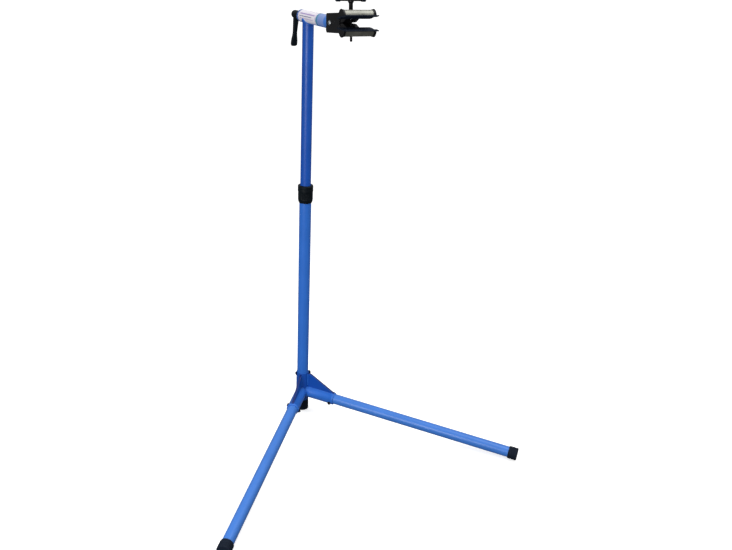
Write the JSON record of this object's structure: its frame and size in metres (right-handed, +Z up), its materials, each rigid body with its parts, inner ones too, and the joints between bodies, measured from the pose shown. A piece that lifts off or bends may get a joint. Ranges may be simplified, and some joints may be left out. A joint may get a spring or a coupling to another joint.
{
  "type": "bike repair stand",
  "caption": "Floor stand with splayed tubular legs, a telescopic mast, a cross arm and a turning clamp head whose screw-closed jaws hold a bicycle tube.",
  "frame": {"origin": "centre of the rear foot's sole, on the floor under the mast", "axes": "+Z up the mast, +X along the cross arm towards the clamp and halfway between the legs, +Y to the left leg"},
  "size_m": [0.7648, 1.1274, 1.5348],
  "materials": {
    "blue_paint": "satin blue powder coat",
    "black_plastic": "moulded black plastic",
    "black_rubber": "matt black rubber",
    "black_steel": "semi-gloss black coat",
    "zinc_steel": "bright zinc plate",
    "pale_cover": "pale grey coat",
    "brass": "machined brass",
    "nylon": "dark nylon"
  },
  "bodies": {
    "base": {"base_sleeve": "blue_paint", "lower_mast_tube": "blue_paint", "rear_foot_cap": "black_rubber", "sleeve_bolt": "black_steel", "sleeve_nut": "black_steel", "collar_base": "black_plastic", "left_leg_socket": "blue_paint", "right_leg_socket": "blue_paint", "left_leg_tube": "blue_paint", "right_leg_tube": "blue_paint", "left_leg_bolt": "black_steel", "right_leg_bolt": "black_steel", "left_leg_nut": "black_steel", "right_leg_nut": "black_steel", "left_leg_foot": "black_rubber", "right_leg_foot": "black_rubber", "left_gusset": "blue_paint", "right_gusset": "blue_paint"},
    "collar": {"height_collar": "black_plastic"},
    "collet": {"collet_bushing": "nylon"},
    "upper_mast": {"upper_mast_tube": "blue_paint", "mast_guide_bush": "nylon", "arm_tube": "blue_paint", "arm_rear_bush": "nylon", "arm_front_bush": "nylon"},
    "clamp_head": {"clamp_shaft": "zinc_steel", "thrust_washer": "zinc_steel", "clamp_body": "black_steel", "yoke_bolt": "zinc_steel", "yoke_nut": "zinc_steel", "upper_jaw_pin": "black_steel", "lower_jaw_pin": "black_steel"},
    "handle": {"lock_handle": "black_plastic", "handle_insert": "brass", "handle_screw": "zinc_steel"},
    "upper_jaw_arm": {"upper_jaw": "black_steel", "upper_jaw_cover": "pale_cover", "upper_jaw_pad": "black_rubber", "upper_jaw_left_plate": "black_steel", "upper_jaw_right_plate": "black_steel"},
    "lower_jaw_arm": {"lower_jaw": "black_steel", "lower_jaw_cover": "pale_cover", "lower_jaw_pad": "black_rubber", "lower_jaw_left_plate": "black_steel", "lower_jaw_right_plate": "black_steel"},
    "upper_pivot_block": {"upper_trunnion": "zinc_steel"},
    "lower_pivot_block": {"lower_trunnion_nut": "zinc_steel"},
    "screw": {"clamp_screw": "black_steel", "screw_retaining_ring": "zinc_steel"},
    "tommy_bar": {"t_bar": "black_steel", "t_bar_left_cap": "black_rubber", "t_bar_right_cap": "black_rubber"}
  },
  "joints": [
    {"name": "collar_twist", "type": "hinge", "parent": "base", "child": "collar", "pos_m": [0, 0, 0.86], "axis": [0, 0, 1], "range_deg": [0, 90]},
    {"name": "mast_swivel", "type": "hinge", "parent": "base", "child": "collet", "pos_m": [0, 0, 0.875], "axis": [0, 0, 1], "continuous": true},
    {"name": "mast_height", "type": "slide", "parent": "collet", "child": "upper_mast", "axis": [0, 0, 1], "range_m": [-0.457, 0]},
    {"name": "clamp_spin", "type": "hinge", "parent": "upper_mast", "child": "clamp_head", "pos_m": [0, 0, 1.45], "axis": [1, 0, 0], "continuous": true},
    {"name": "handle_turn", "type": "hinge", "parent": "clamp_head", "child": "handle", "pos_m": [-0.08, 0, 1.45], "axis": [1, 0, 0], "range_deg": [-110, 110]},
    {"name": "screw_turn", "type": "hinge", "parent": "upper_pivot_block", "child": "screw", "pos_m": [0.28577, 0, 1.48137], "axis": [-0.0924, 0, 0.9957], "range_deg": [-370, 1110]},
    {"name": "upper_jaw_swing", "type": "hinge", "parent": "clamp_head", "child": "upper_jaw_arm", "pos_m": [0.25631, 0, 1.47411], "axis": [0, -1, 0], "range_deg": [-5, 15]},
    {"name": "lower_jaw_swing", "type": "hinge", "parent": "clamp_head", "child": "lower_jaw_arm", "pos_m": [0.25936, 0, 1.44125], "axis": [0, 1, 0], "range_deg": [-5, 15]},
    {"name": "upper_block_turn", "type": "hinge", "parent": "upper_jaw_arm", "child": "upper_pivot_block", "pos_m": [0.28577, 0, 1.48137], "axis": [0, 1, 0], "range_deg": [-5, 15]},
    {"name": "lower_block_turn", "type": "hinge", "parent": "lower_jaw_arm", "child": "lower_pivot_block", "pos_m": [0.28965, 0, 1.43955], "axis": [0, -1, 0], "range_deg": [-5, 15]},
    {"name": "t_bar_slide", "type": "slide", "parent": "screw", "child": "tommy_bar", "axis": [0, 1, 0], "range_m": [-0.026, 0.026]}
  ],
  "couplings": [
    {"joint": "upper_jaw_swing", "follows": "screw_turn", "ratio": 0.0134},
    {"joint": "lower_jaw_swing", "follows": "screw_turn", "ratio": 0.0134},
    {"joint": "upper_block_turn", "follows": "screw_turn", "ratio": 0.0134},
    {"joint": "lower_block_turn", "follows": "screw_turn", "ratio": 0.0134}
  ]
}
